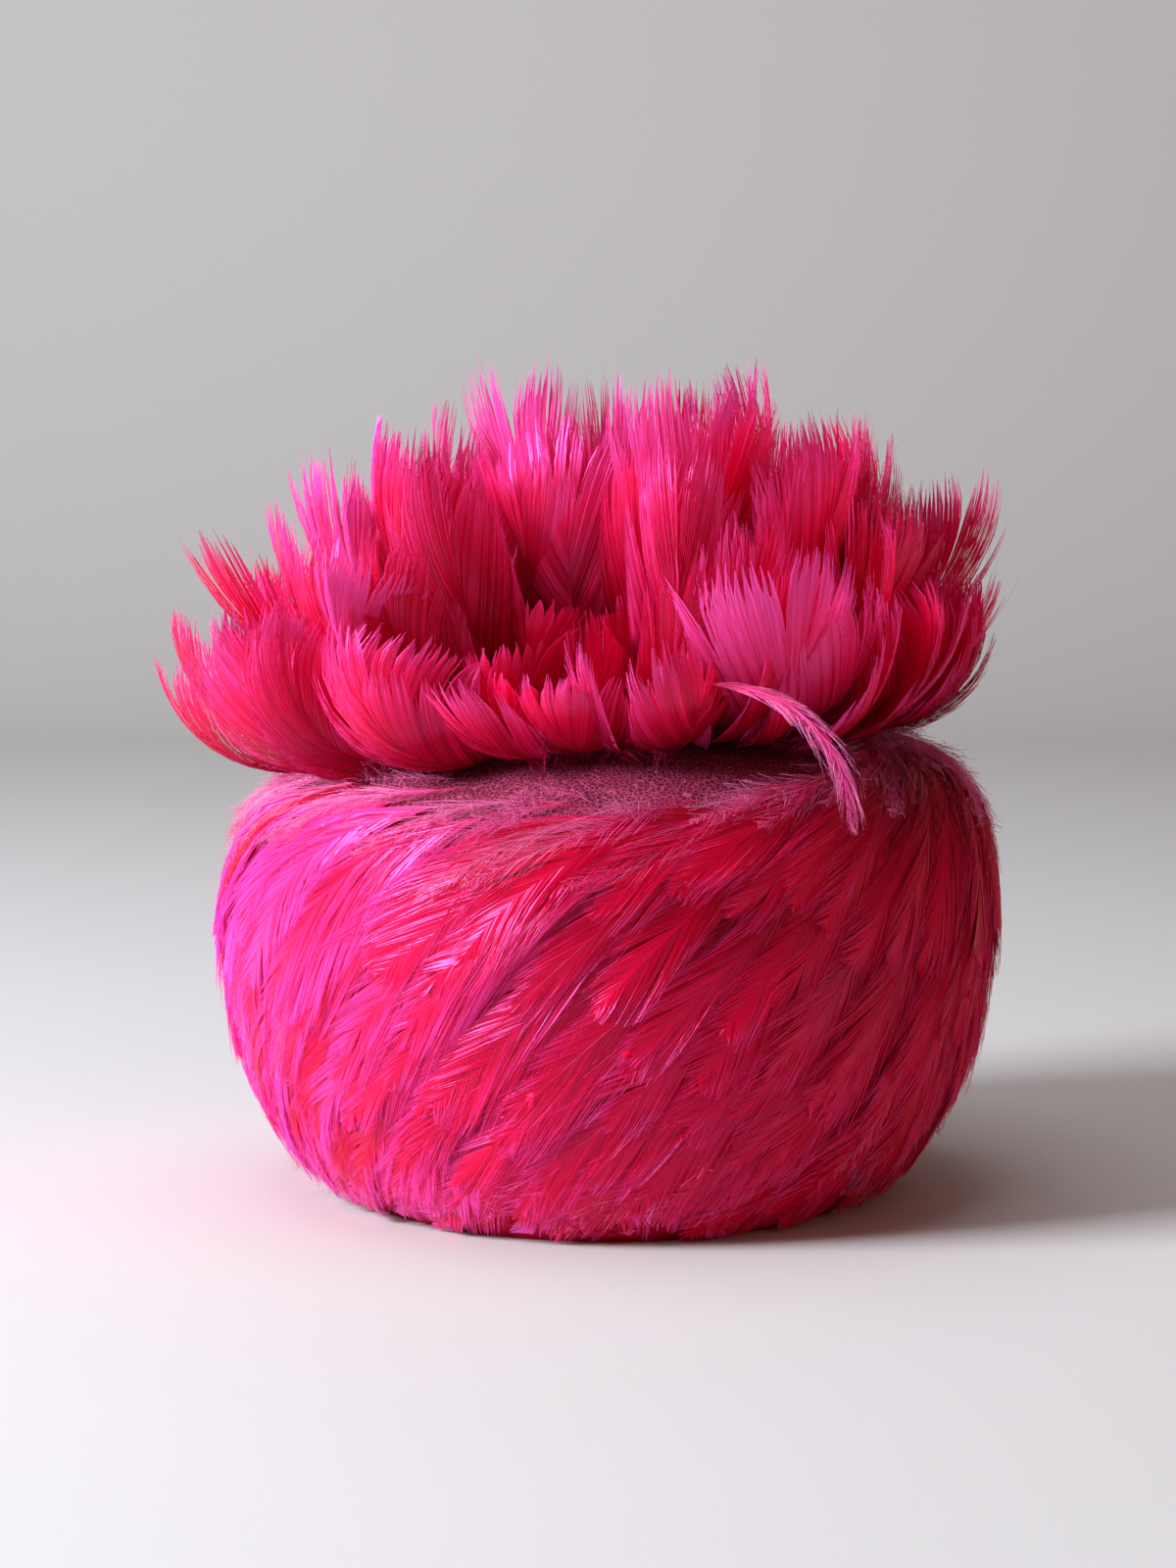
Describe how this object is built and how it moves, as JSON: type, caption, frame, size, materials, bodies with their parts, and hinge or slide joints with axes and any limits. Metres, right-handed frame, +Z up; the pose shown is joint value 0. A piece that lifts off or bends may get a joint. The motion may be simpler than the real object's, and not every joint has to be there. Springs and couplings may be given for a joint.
{
  "type": "feathered turban hat",
  "caption": "Hollow bulging turban hat: net-covered form, tiers of slanting hackle feathers round its side, and rings of upturned goose feathers on its domed crown.",
  "frame": {"origin": "on the surface that the hat stands on, in the middle of its rim and of its bounding box", "axes": "+Z up out of the crown, -Y towards the front of the hat, +X towards the side where the crown stands higher"},
  "size_m": [0.2598, 0.2569, 0.249],
  "materials": {
    "crown_net": "fine dyed net over buckram, matt",
    "hackle_feather": "dyed hackle feather, silky",
    "goose_feather": "dyed and curled goose feather, satin"
  },
  "bodies": {
    "root": {"net_form": "crown_net", "hackle_tier_lower": "hackle_feather", "hackle_tier_middle": "hackle_feather", "hackle_tier_upper": "hackle_feather", "plume_ring_skirt": "goose_feather", "plume_ring_outer": "goose_feather", "plume_ring_middle": "goose_feather", "plume_ring_inner": "goose_feather", "plume_ring_heart": "goose_feather"}
  },
  "joints": []
}
